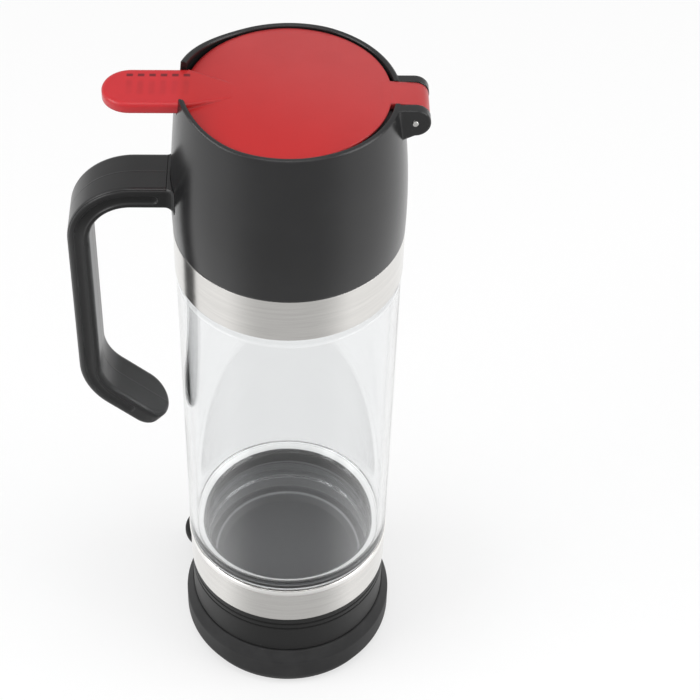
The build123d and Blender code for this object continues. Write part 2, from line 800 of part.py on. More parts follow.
def side_channels():
    """Concave channels along both sides of the inner moulding."""
    line = handle_line(channel_level)
    along, _ = toe_vectors()
    stop = (line[3][0] - along[0] * channel_toe_gap, line[3][1] - along[1] * channel_toe_gap)
    start = (-head_belly_radius - root_cove - channel_radius, line[0][1])
    rounds = [handle_top_bend - channel_level, handle_toe_bend - channel_level]
    route = Plane.XZ * FilletPolyline(start, line[1], line[2], stop, radius=rounds)
    tool = sweep(Plane(origin=route @ 0, z_dir=route % 0) * Circle(channel_radius), path=route)
    tool += Pos(*(route @ 0)) * Sphere(channel_radius)
    tool += Pos(*(route @ 1)) * Sphere(channel_radius)
    offset = handle_width / 2 + channel_radius - channel_depth
    return [Pos(0, side * offset, 0) * tool for side in (-1, 1)]


def arm_root():
    """Root of the arm with a cove all round, cut level with the arm's top, and the wall in it."""
    reach = head_belly_radius + root_cove + channel_radius
    across = (-handle_width, handle_width)
    arm = handle_body() & block((-reach, 0), across, (arm_bottom - root_cove, arm_top))
    joined = arm + head_form(-press_gap / 2)
    on_wall = (-head_belly_radius - root_cove / 2, -collar_throat_radius)
    seam = joined.edges().filter_by(
        lambda edge: on_wall[0] < edge.center().X < on_wall[1]
        and abs(edge.center().Y) <= handle_width / 2
        and arm_bottom - press_gap <= edge.center().Z <= arm_top + press_gap
    )
    space = ((-reach, -collar_throat_radius), across, (arm_bottom - root_cove, arm_top))
    return fillet(seam, root_cove) & block(*space)


def handle_core():
    """Inner moulding of the handle, with its side channels, cover recess and coved root."""
    body = handle_body() + arm_root() - cover_zone(press_gap)
    for channel in side_channels():
        body -= channel
    body -= head_form(-press_gap / 2)
    for side in (-1, 1):
        y = side * handle_screw_spacing / 2
        hole = Pos(-head_belly_radius, y, screw_height) * Rot(0, 90, 0)
        body -= hole * Cylinder(handle_screw_radius, 2 * handle_screw_length)
    return body


def handle_screws():
    """Two screws from inside the head through the shell into the handle's root."""
    y_offset = handle_screw_spacing / 2
    inner = shell_radius(screw_height) - head_wall
    seat = -math.sqrt(inner**2 - (y_offset + handle_screw_head_radius) ** 2)
    screws = []
    for side in (-1, 1):
        place = Pos(seat, side * y_offset, screw_height) * Rot(0, 90, 0)
        head = place * Pos(0, 0, handle_screw_head_height / 2)
        shank = place * Pos(0, 0, -handle_screw_length / 2)
        screw = head * Cylinder(handle_screw_head_radius, handle_screw_head_height)
        screws.append(screw + shank * Cylinder(handle_screw_radius, handle_screw_length))
    return Compound(children=screws)


nodes = {
    "vessel": vessel,
    "base_cup": base_cup,
    "lower_band": lower_band,
    "base_seal": base_seal,
    "suction_foot": suction_foot,
    "foot_retainer": foot_retainer,
    "foot_screws": foot_screws,
    "head_shell": head_shell,
    "hinge_pin": hinge_pin,
    "upper_band": upper_band,
    "head_collar": head_collar,
    "head_seal": head_seal,
    "mouth_liner": mouth_liner,
    "lid": lid,
    "lid_seal": lid_seal,
    "handle_shell": handle_shell,
    "handle_core": handle_core,
    "handle_screws": handle_screws,
}

os.makedirs("parts", exist_ok=True)
for name, make in nodes.items():
    export_step(make(), os.path.join("parts", name + ".step"))
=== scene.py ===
"""Looks of the honey dispenser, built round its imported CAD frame.

Every CAD node keeps its mesh and gets a finish. Four pieces are added as meshes: the thread
ridges of the two necks, which the solids leave smooth, the bead on the gasket and the rolled lip
of the lower band. All sizes are in metres, in the frame's own axes: Z runs up the vessel's axis,
the handle and the thumb tab point to -X and the hinge to +X.
"""

import logging
import math
from dataclasses import dataclass, field
from enum import Enum
from typing import Any, Iterable

import bmesh
import bpy
from mathutils import Matrix, Vector


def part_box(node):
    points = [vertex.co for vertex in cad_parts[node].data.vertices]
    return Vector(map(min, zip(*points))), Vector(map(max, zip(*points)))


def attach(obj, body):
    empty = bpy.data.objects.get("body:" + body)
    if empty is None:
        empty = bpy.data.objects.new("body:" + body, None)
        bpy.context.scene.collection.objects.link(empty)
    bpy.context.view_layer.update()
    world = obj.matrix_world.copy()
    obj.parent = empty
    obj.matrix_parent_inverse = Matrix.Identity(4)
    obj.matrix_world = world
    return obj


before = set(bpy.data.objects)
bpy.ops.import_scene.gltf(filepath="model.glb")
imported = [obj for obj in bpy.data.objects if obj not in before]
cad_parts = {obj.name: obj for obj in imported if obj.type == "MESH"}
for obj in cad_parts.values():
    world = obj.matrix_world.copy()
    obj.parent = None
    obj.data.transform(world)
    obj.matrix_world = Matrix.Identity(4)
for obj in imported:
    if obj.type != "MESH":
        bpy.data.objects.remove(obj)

LOG = logging.getLogger("honey_dispenser")
MM = 0.001
SHARP_ANGLE = math.radians(38.0)
BEVEL_SAMPLES = 6
WHITE = (1.0, 1.0, 1.0)
Colour = tuple[float, float, float]
Span = tuple[float, float]


class Body(Enum):
    """Bodies of the frame that added pieces ride on."""

    BASE = "base"
    BASE_RING = "base_ring"
    VESSEL = "vessel"


class Slot(Enum):
    """Material slots of the record."""

    RED_LID = "red_lid"
    BLACK_HEAD = "black_head"
    BLACK_GRIP = "black_grip"
    STEEL_BAND = "steel_band"
    CLEAR_VESSEL = "clear_vessel"
    BLACK_SEAL = "black_seal"
    PALE_SEAL = "pale_seal"
    DARK_CUP = "dark_cup"
    FOOT_RUBBER = "foot_rubber"
    INNER_PLASTIC = "inner_plastic"
    BRIGHT_PIN = "bright_pin"
    SCREW_STEEL = "screw_steel"


class Shape(Enum):
    """Operations of a Math node that finishes use beyond plain arithmetic."""

    SQUARE_ROOT = "SQRT"
    ABSOLUTE = "ABSOLUTE"
    SMALLER = "MINIMUM"
    LARGER = "MAXIMUM"
    WAVE = "PINGPONG"


# Shader arithmetic


class Value:
    """A number in a shader: a node's output that takes part in Python arithmetic."""

    def __init__(self, graph: "Graph", socket: bpy.types.NodeSocket) -> None:
        """Keep the output and the graph that its further nodes go into.

        Args:
            graph: Graph that holds the node.
            socket: Output socket of the node.
        """
        self.graph = graph
        self.socket = socket

    def math(self, operation: str, *terms: "Value | float") -> "Value":
        """Add a Math node.

        Args:
            operation: Operation of the node.
            terms: Its inputs in order.

        Returns:
            The node's result.
        """
        return self.graph.node("ShaderNodeMath", {"operation": operation}, dict(enumerate(terms)))

    def shaped(self, shape: Shape, other: "Value | float | None" = None) -> "Value":
        """Apply a named operation to this value, with a second term where it takes one.

        Args:
            shape: The operation.
            other: Second term, if any.

        Returns:
            The result.
        """
        terms = (self,) if other is None else (self, other)
        return self.math(shape.value, *terms)

    def step(self, low: float, high: float) -> "Value":
        """Rise smoothly from 0 at one value to 1 at another.

        Args:
            low: Value that gives 0.
            high: Value that gives 1. It may be the smaller of the two.

        Returns:
            The smooth step.
        """
        turned = low > high
        start, end = (high, low) if turned else (low, high)
        settings = {"interpolation_type": "SMOOTHSTEP"}
        sockets = {"Value": self, 1: start, 2: end}
        rise = self.graph.node("ShaderNodeMapRange", settings, sockets)
        return 1 - rise if turned else rise

    def within(self, low: float, high: float, soft: float) -> "Value":
        """1 between two values and 0 outside them.

        Args:
            low: Lower end.
            high: Upper end.
            soft: Width of the rise inside each end.

        Returns:
            The share.
        """
        return self.step(low, low + soft) * self.step(high, high - soft)

    def swing(self, amount: float) -> "Value":
        """Rise and fall of a noise about its mean of 0.5, times an amount."""
        return amount * (self - 0.5)

    def __add__(self, other: "Value | float") -> "Value":
        """Sum."""
        return self.math("ADD", self, other)

    def __radd__(self, other: "Value | float") -> "Value":
        """Sum with a number on the left."""
        return self.math("ADD", other, self)

    def __sub__(self, other: "Value | float") -> "Value":
        """Difference."""
        return self.math("SUBTRACT", self, other)

    def __rsub__(self, other: "Value | float") -> "Value":
        """Difference from a number on the left."""
        return self.math("SUBTRACT", other, self)

    def __mul__(self, other: "Value | float") -> "Value":
        """Product."""
        return self.math("MULTIPLY", self, other)

    def __rmul__(self, other: "Value | float") -> "Value":
        """Product with a number on the left."""
        return self.math("MULTIPLY", other, self)

    def __truediv__(self, other: "Value | float") -> "Value":
        """Quotient."""
        return self.math("DIVIDE", self, other)

    def __neg__(self) -> "Value":
        """Opposite."""
        return self.math("MULTIPLY", self, -1.0)


def from_axis(x: Value, y: Value) -> Value:
    """Distance from the vessel's axis."""
    return (x * x + y * y).shaped(Shape.SQUARE_ROOT)


@dataclass(frozen=True)
class Noise:
    """Settings of a cloudy noise: blotches per metre, octaves and share of the finer octaves."""

    scale: float
    octaves: float
    rough: float


class Graph:
    """Nodes of one material or of the world."""

    def __init__(self, tree: bpy.types.NodeTree) -> None:
        """Start from an empty tree.

        Args:
            tree: Node tree to fill.
        """
        self.tree = tree
        tree.nodes.clear()

    def feed(self, socket: bpy.types.NodeSocket, value: Any) -> None:
        """Link or set an input.

        Args:
            socket: Input socket.
            value: A Value to link, or a number or a colour to set.
        """
        if isinstance(value, Value):
            self.tree.links.new(value.socket, socket)
        elif socket.type == "RGBA":
            socket.default_value = (*value[:3], 1.0)
        else:
            socket.default_value = value

    def node(
        self,
        kind: str,
        settings: dict[str, Any] | None = None,
        sockets: dict[str | int, Any] | None = None,
        output: str | int = 0,
    ) -> Value:
        """Add a node.

        Args:
            kind: Blender's name of the node's type.
            settings: Properties, set before the sockets.
            sockets: Values or links of its inputs, by name or number.
            output: Output to return, by name or number.

        Returns:
            That output as a Value.
        """
        made = self.tree.nodes.new(kind)
        for name, setting in (settings or {}).items():
            setattr(made, name, setting)
        for name, value in (sockets or {}).items():
            self.feed(made.inputs[name], value)
        return Value(self, made.outputs[output])

    def place(self) -> tuple[Value, Value, Value, Value]:
        """Place on the piece at rest.

        Returns:
            The place as a vector, then its X, Y and Z.
        """
        vector = self.node("ShaderNodeTexCoord", output="Object")
        axes = [self.node("ShaderNodeSeparateXYZ", None, {0: vector}, axis) for axis in "XYZ"]
        return vector, *axes

    def joined(self, x: Value | float, y: Value | float, z: Value | float) -> Value:
        """Vector of three values."""
        return self.node("ShaderNodeCombineXYZ", None, {0: x, 1: y, 2: z})

    def noise(self, vector: Value, noise: Noise) -> Value:
        """Cloudy noise from 0 to 1.

        Args:
            vector: Where it is read.
            noise: Its settings.

        Returns:
            The noise, about 0.5 on average.
        """
        sockets = {
            "Vector": vector,
            "Scale": noise.scale,
            "Detail": noise.octaves,
            "Roughness": noise.rough,
        }
        return self.node("ShaderNodeTexNoise", None, sockets)

    def between(self, factor: Value | float, low: Any, high: Any) -> Value:
        """Mix two colours.

        Args:
            factor: Share of the second colour.
            low: First colour, set or linked.
            high: Second colour, set or linked.

        Returns:
            The mixed colour.
        """
        settings = {"data_type": "RGBA"}
        return self.node("ShaderNodeMix", settings, {0: factor, 6: low, 7: high}, output=2)

    def blend(self, factor: Value | float, low: Value, high: Value) -> Value:
        """Mix two shaders by the share of the second."""
        return self.node("ShaderNodeMixShader", None, {0: factor, 1: low, 2: high})

    def bump(self, height: Value, depth: float, normal: Value | None = None) -> Value:
        """Relief from a height.

        Args:
            height: Height from 0 to 1.
            depth: Size of that height in metres.
            normal: Normal that the relief is laid on, if not the mesh's own.

        Returns:
            The normal.
        """
        sockets = {"Height": height, "Distance": depth, "Strength": 1.0}
        if normal is not None:
            sockets["Normal"] = normal
        return self.node("ShaderNodeBump", None, sockets)

    def softened(self, radius: float) -> Value:
        """Normal with edges rounded to a radius."""
        return self.node("ShaderNodeBevel", {"samples": BEVEL_SAMPLES}, {"Radius": radius})

    def light_path(self, *rays: str) -> Value:
        """1 for any of the named kinds of ray.

        Args:
            rays: Outputs of the Light Path node.

        Returns:
            The sum of the outputs, at most 1.
        """
        total: Value | float = 0.0
        for ray in rays:
            total = self.node("ShaderNodeLightPath", output=ray) + total
        return total.shaped(Shape.SMALLER, 1.0)

    def principled(self, **sockets: Any) -> Value:
        """Principled shader.

        Args:
            sockets: Its inputs by name, with _ for a space.

        Returns:
            The shader.
        """
        named = {name.replace("_", " "): value for name, value in sockets.items()}
        return self.node("ShaderNodeBsdfPrincipled", None, named)

    def surface(self, shader: Value, kind: str = "ShaderNodeOutputMaterial") -> None:
        """Send a shader to an output node.

        Args:
            shader: The shader.
            kind: Blender's name of the output node.
        """
        output = self.tree.nodes.new(kind)
        self.tree.links.new(shader.socket, output.inputs["Surface"])


# Finishes


@dataclass(frozen=True)
class Finish:
    """A material: its slot and how its nodes are made."""

    slot: Slot

    def shader(self, graph: Graph) -> Value:
        """Make the surface shader.

        Args:
            graph: Graph of the material.

        Returns:
            The shader.
        """
        raise NotImplementedError

    def material(self) -> bpy.types.Material:
        """Make the material.

        Returns:
            The new material, named for its slot.
        """
        made = bpy.data.materials.new(self.slot.value)
        made.use_nodes = True
        graph = Graph(made.node_tree)
        graph.surface(self.shader(graph))
        return made


@dataclass(frozen=True)
class MouldedPlastic(Finish):
    """Opaque moulded plastic with a fine spark-eroded grain and rounded edges."""

    colour: Colour = (0.02, 0.02, 0.021)
    shine: float = 0.3
    grain: float = 0.004 * MM
    edge: float = 0.4 * MM
    clouds: Noise = Noise(38.0, 4.0, 0.55)
    cloud_span: Span = (0.3, 0.75)
    cloud_dull: float = 0.08
    speckles: Noise = Noise(2400.0, 2.0, 0.6)
    speckle_dull: float = 0.06
    lighter: float = 1.25
    lift: float = 0.001

    def texture(self, graph: Graph, vector: Value) -> tuple[Value, Value, Value]:
        """Make what all moulded plastics share.

        Args:
            graph: Graph of the material.
            vector: Place on the piece.

        Returns:
            The clouds, the speckles and the clouded colour.
        """
        clouds = graph.noise(vector, self.clouds)
        speckles = graph.noise(vector, self.speckles)
        light = tuple(channel * self.lighter + self.lift for channel in self.colour)
        colour = graph.between(clouds.step(*self.cloud_span), self.colour, light)
        return clouds, speckles, colour

    def shader(self, graph: Graph) -> Value:
        """Make plastic with clouded colour, a grain and worn edges."""
        vector, *_ = graph.place()
        clouds, speckles, colour = self.texture(graph, vector)
        rough = self.shine + clouds.swing(self.cloud_dull) + speckles.swing(self.speckle_dull)
        normal = graph.bump(speckles, self.grain, graph.softened(self.edge))
        return graph.principled(Base_Color=colour, Roughness=rough, Normal=normal)


@dataclass(frozen=True)
class GripPlastic(MouldedPlastic):
    """Handle plastic with the parting line of its mould and a duller side channel with painted
    shade.

    The painted shade in the channel is full along the arm, above arm_span, and less down the grip.
    """

    lighter: float = 1.3
    lift: float = 0.0
    line_width: float = 0.35 * MM
    line_depth: float = 0.07 * MM
    line_dull: float = 0.1
    side: float = 9.5 * MM
    channel_start: float = 0.25 * MM
    channel_full: float = 0.6 * MM
    channel_facing: Span = (0.7, 0.86)
    # dark colour of the side channel: painted shade
    painted_channel_shade: Colour = (0.0022, 0.0022, 0.0023)
    channel_dull: float = 0.4
    grip_share: float = 0.4
    arm_span: Span = (0.200, 0.212)

    def _channel_shade(self, graph: Graph, distance: Value, height: Value) -> Value:
        """Share of the painted shade in the side channel.

        Args:
            graph: Graph of the material.
            distance: Distance from the plane of symmetry.
            height: Height in the frame.

        Returns:
            The share, 0 outside the channel.
        """
        normal = graph.node("ShaderNodeTexCoord", output="Normal")
        facing = graph.node("ShaderNodeSeparateXYZ", None, {0: normal}, "Y").shaped(Shape.ABSOLUTE)
        deep = distance.step(self.side - self.channel_start, self.side - self.channel_full)
        on_arm = height.step(*self.arm_span)
        share = self.grip_share + (1.0 - self.grip_share) * on_arm
        return deep * facing.step(*self.channel_facing) * share

    def shader(self, graph: Graph) -> Value:
        """Make the plastic with a parting line at the plane of symmetry."""
        vector, _, across, height = graph.place()
        clouds, speckles, colour = self.texture(graph, vector)
        distance = across.shaped(Shape.ABSOLUTE)
        line = distance.step(self.line_width, 0.0)
        channel = self._channel_shade(graph, distance, height)
        # painted shade in the side channel
        colour = graph.between(channel, colour, self.painted_channel_shade)
        rough = self.shine + clouds.swing(self.cloud_dull)
        rough = rough + self.line_dull * line + self.channel_dull * channel
        ridge = graph.bump(line, self.line_depth, graph.softened(self.edge))
        normal = graph.bump(speckles, self.grain, ridge)
        return graph.principled(Base_Color=colour, Roughness=rough, Normal=normal)


@dataclass(frozen=True)
class CupPlastic(MouldedPlastic):
    """Cup plastic: satin outside, with painted light on the inside walls that the vessel lights.
    """

    lift: float = 0.0
    cloud_dull: float = 0.1
    speckles: Noise = Noise(2000.0, 2.0, 0.6)
    specular: float = 0.25
    # paler inside walls: painted light
    inside: Colour = (0.185, 0.188, 0.192)
    inside_radius: float = 33.5 * MM
    inside_soft: float = 0.1 * MM
    inside_span: Span = (0.025, 0.030)
    # inside floor: painted light, dimmer than on the walls
    floor: Colour = (0.062, 0.063, 0.066)
    floor_height: float = 36.8 * MM
    floor_soft: float = 0.3 * MM
    shelf_edge: float = 27.2 * MM
    edge_width: float = 0.7 * MM
    # ring at the shelf's edge: painted highlight
    painted_edge_highlight: Colour = (0.30, 0.305, 0.31)
    edge_highlight_share: float = 0.8

    def shader(self, graph: Graph) -> Value:
        """Make the plastic with painted light inside a radius, less of it on the floor, and a
        painted highlight at the shelf's edge.
        """
        vector, x, y, z = graph.place()
        radius = from_axis(x, y)
        clouds, speckles, outside = self.texture(graph, vector)
        wall, soft = self.inside_radius, self.inside_soft
        inner = radius.step(wall + soft, wall - soft) * z.step(*self.inside_span)
        low = z.step(self.floor_height + self.floor_soft, self.floor_height - self.floor_soft)
        # painted light on the inside walls, less on the floor
        colour = graph.between(inner, outside, graph.between(low, self.inside, self.floor))
        # painted highlight ring at the shelf's edge
        edge = (radius - self.shelf_edge).shaped(Shape.ABSOLUTE).step(self.edge_width, 0.0)
        colour = graph.between(edge * inner * self.edge_highlight_share, colour, self.painted_edge_highlight)
        return graph.principled(
            Base_Color=colour,
            Roughness=self.shine + clouds.swing(self.cloud_dull),
            Specular_IOR_Level=self.specular,
            Normal=graph.bump(speckles, self.grain, graph.softened(self.edge)),
        )


@dataclass(frozen=True)
class BrushedSteel(Finish):
    """Steel brushed round the band, so that highlights stand upright, with a dull rolled lip that
    carries a painted highlight.
    """

    colour: Colour = (0.79, 0.775, 0.75)
    darker: float = 0.86
    shine: float = 0.18
    streaks: Noise = Noise(5200.0, 5.0, 0.65)
    streak_squeeze: float = 0.012
    streak_share: float = 0.7
    streak_dull: float = 0.1
    streak_depth: float = 0.0025 * MM
    shades: Noise = Noise(900.0, 2.0, 0.5)
    shade_squeeze: float = 0.03
    contrast: Span = (0.25, 0.7)
    edge: float = 0.2 * MM
    # paler colour of the rolled lip: painted highlight
    painted_lip_highlight: Colour = (0.95, 0.94, 0.92)
    lip_span: Span = (0.0508, 0.0560)
    lip_soft: float = 0.2 * MM
    lip_start: float = 36.5 * MM
    start_soft: float = 0.05 * MM
    lip_dull: float = 0.32

    def shader(self, graph: Graph) -> Value:
        """Make steel with long level streaks in colour, roughness and relief."""
        _, x, y, z = graph.place()
        near, far = self.streak_squeeze, self.shade_squeeze
        streaks = graph.noise(graph.joined(x * near, y * near, z), self.streaks)
        shades = graph.noise(graph.joined(x * far, y * far, z), self.shades)
        mixed = streaks * self.streak_share + shades * (1.0 - self.streak_share)
        dark = tuple(channel * self.darker for channel in self.colour)
        colour = graph.between(mixed.step(*self.contrast), dark, self.colour)
        # painted highlight on the rolled lip
        outer = self.lip_start - self.start_soft, self.lip_start + self.start_soft
        lip = z.within(*self.lip_span, self.lip_soft) * from_axis(x, y).step(*outer)
        return graph.principled(
            Base_Color=graph.between(lip, colour, self.painted_lip_highlight),
            Metallic=1.0,
            Roughness=self.shine + streaks.swing(self.streak_dull) + self.lip_dull * lip,
            Normal=graph.bump(streaks, self.streak_depth, graph.softened(self.edge)),
        )


@dataclass(frozen=True)
class BarePolish(Finish):
    """Plain steel of the pin and the screws, turned and lightly polished."""

    colour: Colour = (0.72, 0.71, 0.69)
    shine: float = 0.2
    darker: float = 0.9
    marks: Noise = Noise(1500.0, 4.0, 0.7)
    mark_span: Span = (0.3, 0.7)
    mark_dull: float = 0.12
    mark_depth: float = 0.002 * MM
    edge: float = 0.1 * MM

    def shader(self, graph: Graph) -> Value:
        """Make steel with fine scratches."""
        vector, *_ = graph.place()
        marks = graph.noise(vector, self.marks)
        dark = tuple(channel * self.darker for channel in self.colour)
        return graph.principled(
            Base_Color=graph.between(marks.step(*self.mark_span), dark, self.colour),
            Metallic=1.0,
            Roughness=self.shine + marks.swing(self.mark_dull),
            Normal=graph.bump(marks, self.mark_depth, graph.softened(self.edge)),
        )


@dataclass(frozen=True)
class ClearPlastic(Finish):
    """Clear moulded plastic with a faint grey tint, which lets the lamps' light through.

    The shoulder round the lower neck's mouth has a painted white glint between two radii.
    """

    colour: Colour = (0.93, 0.937, 0.94)
    shine: float = 0.01
    ior: float = 1.5
    waves: Noise = Noise(30.0, 2.0, 0.4)
    wave_depth: float = 0.04 * MM
    # white of the shoulder: painted glint
    painted_glint: Colour = (0.96, 0.96, 0.95)
    glint_share: float = 0.85
    glint_heights: Span = (0.0550, 0.0592)
    glint_radii: Span = (0.0314, 0.0336)
    glint_soft: float = 0.4 * MM

    def shader(self, graph: Graph) -> Value:
        """Make clear plastic with a wavy wall and a painted glint on the shoulder."""
        vector, x, y, z = graph.place()
        body = graph.principled(
            Base_Color=self.colour,
            Roughness=self.shine,
            IOR=self.ior,
            Transmission_Weight=1.0,
            Normal=graph.bump(graph.noise(vector, self.waves), self.wave_depth),
        )
        passing = graph.node("ShaderNodeBsdfTransparent", None, {"Color": self.colour})
        shadow = graph.node("ShaderNodeLightPath", output="Is Shadow Ray")
        clear = graph.blend(shadow, body, passing)
        # painted glint on the shoulder, standing in for a highlight
        painted_glint = graph.principled(Base_Color=self.painted_glint, Roughness=self.shine, IOR=self.ior)
        shoulder = z.within(*self.glint_heights, self.glint_soft)
        shoulder = shoulder * from_axis(x, y).within(*self.glint_radii, self.glint_soft)
        return graph.blend(shoulder * self.glint_share, clear, painted_glint)


@dataclass(frozen=True)
class TranslucentRed(Finish):
    """Red plastic that lets some light in: the ribs under the tab show as darker marks on top."""

    colour: Colour = (0.46, 0.009, 0.010)
    # paler red towards the right and back: painted sheen
    painted_sheen: Colour = (0.45, 0.045, 0.047)
    sheen_lean: float = 0.6
    sheen_span: Span = (-0.035, 0.038)
    tab_colour: Colour = (0.51, 0.015, 0.021)
    tab_start: float = -33.5 * MM
    tab_soft: float = 1.0 * MM
    tab_face: float = 256.0 * MM
    face_soft: float = 0.2 * MM
    dark: Colour = (0.30, 0.005, 0.008)
    shine: float = 0.32
    clouds: Noise = Noise(45.0, 4.0, 0.55)
    cloud_span: Span = (0.35, 0.8)
    cloud_share: float = 0.2
    cloud_dull: float = 0.1
    cloud_depth: float = 0.01 * MM
    specks: Noise = Noise(1300.0, 1.0, 0.5)
    speck_span: Span = (0.74, 0.80)
    speck_share: float = 0.35
    edge: float = 1.3 * MM
    scatter: float = 0.25
    scatter_radii: Colour = (0.004, 0.0006, 0.0005)
    mark_colour: Colour = (0.14, 0.003, 0.007)
    mark_range: Span = (-0.0506, -0.0299)
    mark_soft: float = 0.4 * MM
    first_mark: float = -49.0 * MM
    mark_pitch: float = 3.5 * MM
    dash_span: Span = (0.0012, 0.0008)
    dash_row: float = 5.5 * MM
    dash_row_span: Span = (0.0009, 0.0004)
    bar_span: Span = (0.0015, 0.0003)
    bar_row: float = -0.5 * MM
    bar_row_span: Span = (0.0045, 0.0022)
    bar_share: float = 0.32
    bar_shades: Noise = Noise(160.0, 1.0, 0.5)

    def _marks(self, graph: Graph, x: Value, y: Value, z: Value) -> Value:
        """Shade of the ribs: a row of short dashes and faint bars beside it.

        Args:
            graph: Graph of the material.
            x: Place along the tab.
            y: Place across the tab.
            z: Height.

        Returns:
            Share of the dark colour.
        """
        off = ((x - self.first_mark) / self.mark_pitch).shaped(Shape.WAVE, 0.5) * self.mark_pitch
        dash_row = (y - self.dash_row).shaped(Shape.ABSOLUTE).step(*self.dash_row_span)
        bar_row = (y - self.bar_row).shaped(Shape.ABSOLUTE).step(*self.bar_row_span)
        uneven = graph.noise(graph.joined(x, y, 0.0), self.bar_shades)
        dashes = off.step(*self.dash_span) * dash_row
        bars = off.step(*self.bar_span) * bar_row * uneven * self.bar_share
        in_range = x.within(*self.mark_range, self.mark_soft)
        return (dashes + bars) * in_range * z.step(self.tab_face, self.tab_face + self.face_soft)

    def shader(self, graph: Graph) -> Value:
        """Make the red plastic with its brighter tab, a painted sheen and the shade of the ribs.
        """
        vector, x, y, z = graph.place()
        clouds = graph.noise(vector, self.clouds)
        specks = graph.noise(vector, self.specks).step(*self.speck_span)
        on_tab = x.step(self.tab_start + self.tab_soft, self.tab_start - self.tab_soft)
        # painted sheen, paler towards the right and back
        disc = graph.between(
            (x * self.sheen_lean + y).step(*self.sheen_span), self.colour, self.painted_sheen
        )
        colour = graph.between(on_tab, disc, self.tab_colour)
        shade = clouds.step(*self.cloud_span) * self.cloud_share
        colour = graph.between(shade, colour, self.dark)
        colour = graph.between(specks * self.speck_share, colour, self.dark)
        colour = graph.between(self._marks(graph, x, y, z), colour, self.mark_colour)
        return graph.principled(
            Base_Color=colour,
            Roughness=self.shine + clouds.swing(self.cloud_dull),
            Subsurface_Weight=self.scatter,
            Subsurface_Radius=self.scatter_radii,
            Subsurface_Scale=1.0,
            Normal=graph.bump(clouds, self.cloud_depth, graph.softened(self.edge)),
        )


@dataclass(frozen=True)
class SoftRubber(Finish):
    """Matte rubber with a fine dusty grain."""

    colour: Colour = (0.035, 0.035, 0.036)
    shine: float = 0.62
    lighter: float = 1.5
    specular: float = 0.3
    dust: Noise = Noise(120.0, 5.0, 0.6)
    dust_span: Span = (0.35, 0.75)
    dust_dull: float = 0.12
    grain: Noise = Noise(1800.0, 3.0, 0.6)
    grain_depth: float = 0.01 * MM
    edge: float = 0.5 * MM

    def shader(self, graph: Graph) -> Value:
        """Make rubber with mottled colour and a fine grain."""
        vector, *_ = graph.place()
        dust = graph.noise(vector, self.dust)
        grain = graph.noise(vector, self.grain)
        light = tuple(channel * self.lighter for channel in self.colour)
        return graph.principled(
            Base_Color=graph.between(dust.step(*self.dust_span), self.colour, light),
            Roughness=self.shine + dust.swing(self.dust_dull),
            Specular_IOR_Level=self.specular,
            Normal=graph.bump(grain, self.grain_depth, graph.softened(self.edge)),
        )


FINISHES: dict[Slot, Finish] = {
    finish.slot: finish
    for finish in (
        TranslucentRed(Slot.RED_LID),
        MouldedPlastic(Slot.BLACK_HEAD, (0.011, 0.011, 0.0115), 0.23, edge=0.9 * MM),
        GripPlastic(
            Slot.BLACK_GRIP, (0.015, 0.015, 0.0155), 0.30, side=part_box("handle_core")[1].y
        ),
        BrushedSteel(Slot.STEEL_BAND),
        ClearPlastic(Slot.CLEAR_VESSEL),
        SoftRubber(Slot.BLACK_SEAL, (0.003, 0.003, 0.003), 0.6),
        SoftRubber(Slot.PALE_SEAL, (0.55, 0.54, 0.51), 0.45),
        CupPlastic(Slot.DARK_CUP, (0.012, 0.012, 0.012), 0.46, edge=0.9 * MM),
        SoftRubber(Slot.FOOT_RUBBER, (0.019, 0.019, 0.0195)),
        MouldedPlastic(Slot.INNER_PLASTIC, (0.10, 0.10, 0.102), 0.4),
        BarePolish(Slot.BRIGHT_PIN),
        BarePolish(Slot.SCREW_STEEL, (0.55, 0.54, 0.53), 0.32),
    )
}


class Paintbox:
    """Materials made once each, and handed to the pieces."""

    def __init__(self) -> None:
        """Start with no material made."""
        self._made: dict[Slot, bpy.types.Material] = {}

    def material(self, slot: Slot) -> bpy.types.Material:
        """Material of a slot, made on first use."""
        if slot not in self._made:
            self._made[slot] = FINISHES[slot].material()
        return self._made[slot]

    def dress(self, node: str, slot: Slot) -> None:
        """Give a CAD node its finish.

        Args:
            node: Name of the node.
            slot: Slot of the finish.
        """
        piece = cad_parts[node]
        if not piece.material_slots:
            piece.data.materials.append(None)
        for place in piece.material_slots:
            place.material = self.material(slot)
        LOG.info("node %s dressed in %s", node, slot.value)


# Added pieces


def bridge(mesh: bmesh.types.BMesh, rings: list[list[bmesh.types.BMVert]]) -> None:
    """Span each ring of corners and the next with faces.

    Args:
        mesh: Mesh that holds the corners.
        rings: Closed rings of as many corners each.
    """
    for here, there in zip(rings, rings[1:]):
        for index in range(len(here)):
            following = (index + 1) % len(here)
            mesh.faces.new((here[index], here[following], there[following], there[index]))


